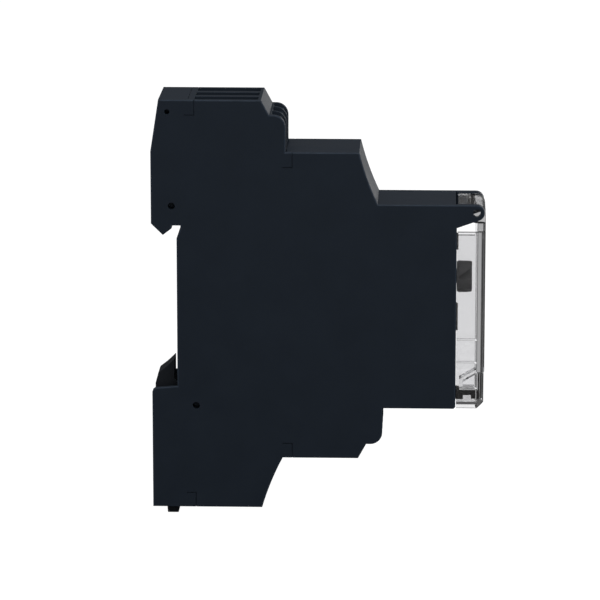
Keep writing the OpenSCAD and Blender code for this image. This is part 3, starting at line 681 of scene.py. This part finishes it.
def add_latch_spring():
    """A coil of round wire with closed ends."""
    node = "latch_spring"
    lo, hi = (Vector(c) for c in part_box(node))
    wire_r = 0.18
    coil_r = (hi.x - lo.x) / 2 - wire_r * MM
    centre = (lo + hi) / 2
    low_z, high_z = lo.z + wire_r * MM, hi.z - wire_r * MM
    turns, steps = 11, 28
    # the first and the last turn lie flat against their neighbours
    closed_end = 2 * wire_r * MM
    points = []
    for i in range(turns * steps + 1):
        wound = i / steps
        body = max(0.0, min(1.0, (wound - 1) / (turns - 2)))
        z = low_z + closed_end * (min(1.0, wound) + max(0.0, wound - turns + 1))
        z += (high_z - low_z - 2 * closed_end) * body
        turn = math.tau * wound
        points.append((centre.x + coil_r * math.cos(turn), centre.y + coil_r * math.sin(turn), z))
    bm = bmesh.new()
    add_wire(bm, points, wire_r)
    spring = place_piece(closed(bm), "latch_spring_part", "spring_steel", BODY_OF[node], [node])
    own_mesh(spring)


add_latch_spring()

# ---------------------------------------------------------------- marks on the front

INK_T = 0.02 * MM
# half the sweep of both dials, and how far the knob is turned at rest, in degrees
SWEEP = 150
KNOB_TURN = 69


def add_digit(bm, words, x, z, front, height_mm):
    """A generic number, standing a hair proud of the surface at front."""
    curve = bpy.data.curves.new("digit", "FONT")
    curve.body = words
    curve.size = height_mm * 1.4 * MM
    curve.align_x, curve.align_y = "CENTER", "CENTER"
    curve.extrude = INK_T / 2
    curve.resolution_u = 3
    holder = bpy.data.objects.new("digit", curve)
    scene.collection.objects.link(holder)
    shown = holder.evaluated_get(bpy.context.evaluated_depsgraph_get())
    mesh = bpy.data.meshes.new_from_object(shown)
    mesh.transform(Matrix.Translation((x, front, z)) @ Matrix.Rotation(math.pi / 2, 4, "X"))
    bm.from_mesh(mesh)
    bpy.data.objects.remove(holder)
    bpy.data.meshes.remove(mesh)


def around(centre, degrees):
    """Turns about a dial's centre, clockwise as seen from the front."""
    return Matrix.Translation(centre) @ Matrix.Rotation(math.radians(degrees), 4, "Y")


def add_scale(bm, centre, tick_r, digit_r, digit_h, numbers):
    """Ticks and numbers over the sweep of a dial, with a shorter tick between each two."""
    count = len(numbers)
    for index in range(2 * count - 1):
        angle = -SWEEP + SWEEP * index / (count - 1)
        long = index % 2 == 0
        reach = tick_r + (0.65 if long else 0.35)
        half = (0.08 if long else 0.05) * MM
        lo, hi = (-half, -INK_T / 2, tick_r * MM), (half, INK_T / 2, reach * MM)
        add_block(bm, lo, hi, around(centre, angle))
        if long:
            x = centre[0] + digit_r * MM * math.sin(math.radians(angle))
            z = centre[2] + digit_r * MM * math.cos(math.radians(angle))
            add_digit(bm, str(numbers[index // 2]), x, z, centre[1], digit_h)


def middle_of(node):
    lo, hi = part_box(node)
    return (Vector(lo) + Vector(hi)) / 2


def add_dial_marks():
    """The scales, a number under each lamp, and lines above the knob and below the selector."""
    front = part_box("dial_label")[0][1] - INK_T / 2 + 0.002 * MM
    bm = bmesh.new()
    knob, selector = middle_of("time_knob"), middle_of("range_selector")
    add_scale(bm, (knob.x, front, knob.z), 3.75, 4.95, 0.9, range(11))
    add_scale(bm, (selector.x, front, selector.z), 3.3, 4.45, 0.75, range(1, 8))
    line_ends, line_half, line_heights = (2.4, 6.1), 0.05, (10.9, -9.3)
    for z in line_heights:
        for side in (-1, 1):
            left, right = sorted(side * end for end in line_ends)
            add_block(bm, (left * MM, front - INK_T / 2, (z - line_half) * MM),
                      (right * MM, front + INK_T / 2, (z + line_half) * MM))
    lamp_x, number_z = 3.2 * MM, -13.9 * MM
    for words, x in (("1", -lamp_x), ("2", lamp_x)):
        add_digit(bm, words, x, number_z, front, 0.9)
    place_piece(closed(bm), "dial_marks", "panel_plastic", BODY_OF["dial_label"])


def add_pointer(name, node, half, start, end, turned):
    """A white line on a control's front: half its width, and its start and end from the middle, in mm."""
    place = middle_of(node)
    place.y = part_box(node)[0][1] + INK_T / 2
    lo, hi = (-half * MM, -INK_T, start * MM), (half * MM, INK_T / 2, end * MM)
    bm = bmesh.new()
    add_block(bm, lo, hi, around(place, turned))
    place_piece(closed(bm), name, "dial_foil", BODY_OF[node])


add_dial_marks()
add_pointer("knob_pointer", "time_knob", 0.16, 1.0, 3.0, KNOB_TURN)
add_pointer("selector_pointer", "range_selector", 0.12, 2.42, 2.85, 0)

# ---------------------------------------------------------------- the electronics

BOARD_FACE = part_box("main_board")[0][0]

# parts with a lead at each end, in mm: half their length, their heights, and how far their leads go out
RESISTOR_HALF = 3.2
RESISTOR_Z = (-14, -10.5, 13)
DIODE_HALF = 2.5
DIODE_Z = (0, 3.5)
LEAD_REACH = 1.1


def add_relay_coil():
    """Layers of enamelled wire on a bobbin with two flanges."""
    lo, hi = (Vector(c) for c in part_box("relay_coil"))
    middle, half = (lo + hi) / 2, (hi.y - lo.y) / 2 / MM
    outer, bore, tube = (hi.x - lo.x) / 2 / MM, 1.6, 2.0
    flange, wound, pitch, gap = 0.9, 3.6, 0.26, 0.02
    bm = bmesh.new()
    add_sleeve(bm, [(-half, bore), (-half, outer), (-half + flange, outer), (-half + flange, tube),
                    (half - flange, tube), (half - flange, outer), (half, outer), (half, bore)], middle)
    place_piece(closed(bm), "coil_bobbin", "component_plastic", BODY_OF["relay_coil"])
    end = half - flange - gap
    turns = round(2 * end / pitch)
    width = 2 * end / turns
    # the round top of one turn: share of its width, and how far below the crest
    crown = ((0.04, 0.10), (0.3, 0.02), (0.5, 0.0), (0.7, 0.02), (0.96, 0.10))
    tops = [(-end + width * (i + share), wound - drop) for i in range(turns) for share, drop in crown]
    bm = bmesh.new()
    add_sleeve(bm, [(-end, tube + gap), *tops, (end, tube + gap)], middle)
    place_piece(closed(bm), "relay_coil_part", "coil_winding", BODY_OF["relay_coil"], ["relay_coil"])


def add_smoothing_capacitor():
    """A sleeved can with a rolled groove near its foot and a bare top."""
    node = "smoothing_capacitor"
    lo, hi = (Vector(c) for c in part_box(node))
    middle, half, radius = (lo + hi) / 2, (hi.x - lo.x) / 2 / MM, (hi.z - lo.z) / 2 / MM
    lip, body = 0.9, BODY_OF[node]
    shoulder = [(-place, r) for place, r in domed(half - 0.45, radius, 0.4)][::-1]
    groove_start, groove_width, groove_depth, steps = half - 2.6, 0.9, 0.45, 8
    groove = [(groove_start + groove_width * i / steps, radius - groove_depth * math.sin(math.pi * i / steps))
              for i in range(steps + 1)]
    foot = domed(half - 0.4, radius, 0.35)
    profile = [(-half + 0.03, radius - lip), *shoulder, (-half + 0.6, radius), *groove, *foot]
    turned_piece(node + "_part", profile, middle, "capacitor_sleeve", body, [node], "X")
    top = middle - Vector((half * MM, 0, 0))
    bm = bmesh.new()
    add_turned(bm, [(0.0, radius - lip - 0.06), (0.05, radius - lip)], top, "X")
    place_piece(closed(bm), "capacitor_top", "crystal_can", body)


def add_leads(bm, half, centre, radius):
    """Wires from each end of a body, bent down to the board."""
    board_x = (BOARD_FACE - centre.x) / MM - 0.02
    for outward in (-1, 1):
        tip = half + LEAD_REACH
        bend = [(0, half), (0, tip - 0.5), (0.15, tip - 0.15), (0.5, tip), (board_x, tip)]
        add_wire(bm, [centre + Vector((x, outward * y, 0)) * MM for x, y in bend], radius)


def add_axial_parts(node, places_z, profile, bands, half):
    """Parts with a lead at each end: turned bodies, painted bands and bent wires."""
    lo, hi = (Vector(c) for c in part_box(node))
    body = BODY_OF[node]
    bodies, wires = bmesh.new(), bmesh.new()
    stripes = {slot: bmesh.new() for _, _, slot in bands}
    radius = max(r for _, r in profile)
    for z in places_z:
        centre = Vector(((lo.x + hi.x) / 2, (lo.y + hi.y) / 2, z * MM))
        add_turned(bodies, profile, centre)
        for place, width, slot in bands:
            near = min(profile, key=lambda point: abs(point[0] - place))[1]
            inner, outer = near - 0.1, near + 0.015
            loop = [(place, inner), (place, outer), (place + width, outer), (place + width, inner)]
            add_sleeve(stripes[slot], loop, centre)
        add_leads(wires, half, centre, min(0.3, radius * 0.25))
    place_piece(closed(bodies), node + "_part", SLOT_OF[node], body, [node])
    place_piece(closed(wires), node + "_leads", "terminal_steel", body)
    for slot, bm in stripes.items():
        place_piece(closed(bm), node + "_bands_" + slot, slot, body)


def add_resistors():
    """Film resistors, thicker over their end caps, with four painted bands."""
    half, waist, cap = RESISTOR_HALF, 1.0, 1.2
    one_end = [(half - 1.4, waist), (half - 1.0, cap), (half - 0.35, cap), (half - 0.1, 0.9), (half, 0.5)]
    other_end = [(-place, r) for place, r in reversed(one_end)]
    profile = other_end + [(place, waist) for place in (-1.0, 0.0, 1.0)] + one_end
    bands = [(-2.7, 0.35, "relay_case_plastic"), (-1.35, 0.35, "component_plastic"),
             (-0.4, 0.35, "coil_winding"), (1.15, 0.35, "contact_alloy")]
    add_axial_parts("resistors", RESISTOR_Z, profile, bands, half)


def add_diodes():
    """Rectifiers with a band at one end."""
    half, radius = DIODE_HALF, 1.35
    one_end = [(half - 0.2, radius), (half - 0.02, radius - 0.2), (half, 0.6)]
    other_end = [(-place, r) for place, r in reversed(one_end)]
    profile = other_end + [(-1.6, radius), (-0.9, radius)] + one_end
    add_axial_parts("rectifier_diodes", DIODE_Z, profile, [(-1.75, 0.7, "dial_foil")], half)


def add_chip():
    """A moulded body, widest at its parting line, and a row of gull-wing pins along each long side."""
    node = "controller_chip"
    lo, hi = (Vector(c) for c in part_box(node))
    inset, parting_x = 1.5 * MM, (lo.x + hi.x) / 2
    levels = [(lo.x, 0.14 * MM), (parting_x, 0.0), (hi.x - 0.1 * MM, 0.1 * MM)]
    bm = bmesh.new()
    rings = []
    for x, draw in levels:
        y0, y1, z0, z1 = lo.y + inset + draw, hi.y - inset - draw, lo.z + draw, hi.z - draw
        rings.append([Vector((x, y0, z0)), Vector((x, y1, z0)), Vector((x, y1, z1)), Vector((x, y0, z1))])
    add_rings(bm, rings)
    round_edges(closed(bm), **FINE)
    place_piece(bm, node + "_part", "component_plastic", BODY_OF[node], [node])
    # outline of a pin seen from the end of the chip: how far below the parting line, and how far in from
    # the pin's tip
    thick, half, drop = 0.15 * MM, 0.2 * MM, hi.x - parting_x
    root, knee, toe = inset + 0.1 * MM, 0.95 * MM, 0.55 * MM
    outline = [(0, root), (0, knee), (drop - thick, toe), (drop - thick, 0), (drop, 0),
               (drop, toe + 0.12 * MM), (thick, knee + 0.08 * MM), (thick, root)]
    pins, count = bmesh.new(), 7
    for i in range(count):
        z = lo.z + (hi.z - lo.z) * (i + 0.5) / count
        for edge, outward in ((lo.y, -1), (hi.y, 1)):
            flat = [(parting_x + below, edge - outward * inward) for below, inward in outline]
            add_rings(pins, [[Vector((x, y, z + side)) for x, y in flat] for side in (-half, half)])
    place_piece(closed(pins), "chip_pins", "terminal_steel", BODY_OF[node])


def add_crystal():
    """A drawn can with a rounded end and a flange round its base, on two bent leads."""
    node = "clock_crystal"
    lo, hi = (Vector(c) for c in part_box(node))
    centre, half, radius = (lo + hi) / 2, (hi.y - lo.y) / 2 / MM, (hi.x - lo.x) / 2 / MM
    corner, flange = 0.3, 0.06
    end = [(-half + corner * (1 - math.cos(turn)), radius - corner * (1 - math.sin(turn)))
           for turn in (0, 0.4, 0.9, 1.4)]
    base = [(half - 0.45, radius - flange), (half - 0.4, radius), (half - 0.05, radius),
            (half, radius - 0.12)]
    turned_piece(node + "_part", end + base, centre, "crystal_can", BODY_OF[node], [node])
    bm = bmesh.new()
    for z in (-0.35, 0.35):
        start = centre + Vector((0, half * MM, z * MM))
        path = [(0, -0.1), (0, 0.5), (0.15, 0.85), (0.5, 1.0)]
        points = [start + Vector((x, y, 0)) * MM for x, y in path]
        points.append(Vector((BOARD_FACE - 0.02 * MM, points[-1].y, points[-1].z)))
        add_wire(bm, points, 0.12)
    place_piece(closed(bm), "crystal_leads", "terminal_steel", BODY_OF[node])


def add_solder_joints():
    """Small domes of solder on the far side of the main board. A spot is a depth and a height in mm."""
    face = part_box("main_board")[1][0]
    capacitors = [(-7.5, 13.5), (-11.5, 13.5), (-20, 9.5), (-31, 14)]
    varistor = [(-16.5, 22.6), (-16.5, 25.4)]
    relay = [(-8.5 - 5 * i, z) for i in range(5) for z in (-17.5, -9)]
    axial = []
    for node, places_z, half in (("resistors", RESISTOR_Z, RESISTOR_HALF),
                                 ("rectifier_diodes", DIODE_Z, DIODE_HALF)):
        centre_y, reach = middle_of(node).y / MM, half + LEAD_REACH
        axial += [(centre_y + side, z) for side in (-reach, reach) for z in places_z]
    dome = [(0.0, 0.95), (0.08, 0.8), (0.25, 0.5), (0.5, 0.3), (0.62, 0.22), (0.66, 0.1)]
    bm = bmesh.new()
    for y, z in capacitors + varistor + axial + relay:
        add_turned(bm, dome, (face, y * MM, z * MM), "X", 20)
    place_piece(closed(bm), "solder_joints", "crystal_can", BODY_OF["main_board"])


add_relay_coil()
add_smoothing_capacitor()
add_resistors()
add_diodes()
add_chip()
add_crystal()
add_solder_joints()

# ---------------------------------------------------------------- the rest of the CAD nodes

DONE = {"housing", "side_cover", "clear_cover", "latch_spring", *SCREWS, "relay_coil", "smoothing_capacitor",
        "dropper_capacitor", "varistor", "resistors", "rectifier_diodes", "controller_chip", "clock_crystal"}
for node, radius in (("dropper_capacitor", 0.8), ("varistor", 0.9)):
    finished(node, dict(width_mm=radius, segments=5, room=1.5), dict(width_mm=0.1))
finished("clear_cover", dict(width_mm=0.14, segments=3), FINE)
for node in NODES:
    if node not in DONE:
        finished(node, dict(width_mm=0.15), FINE)
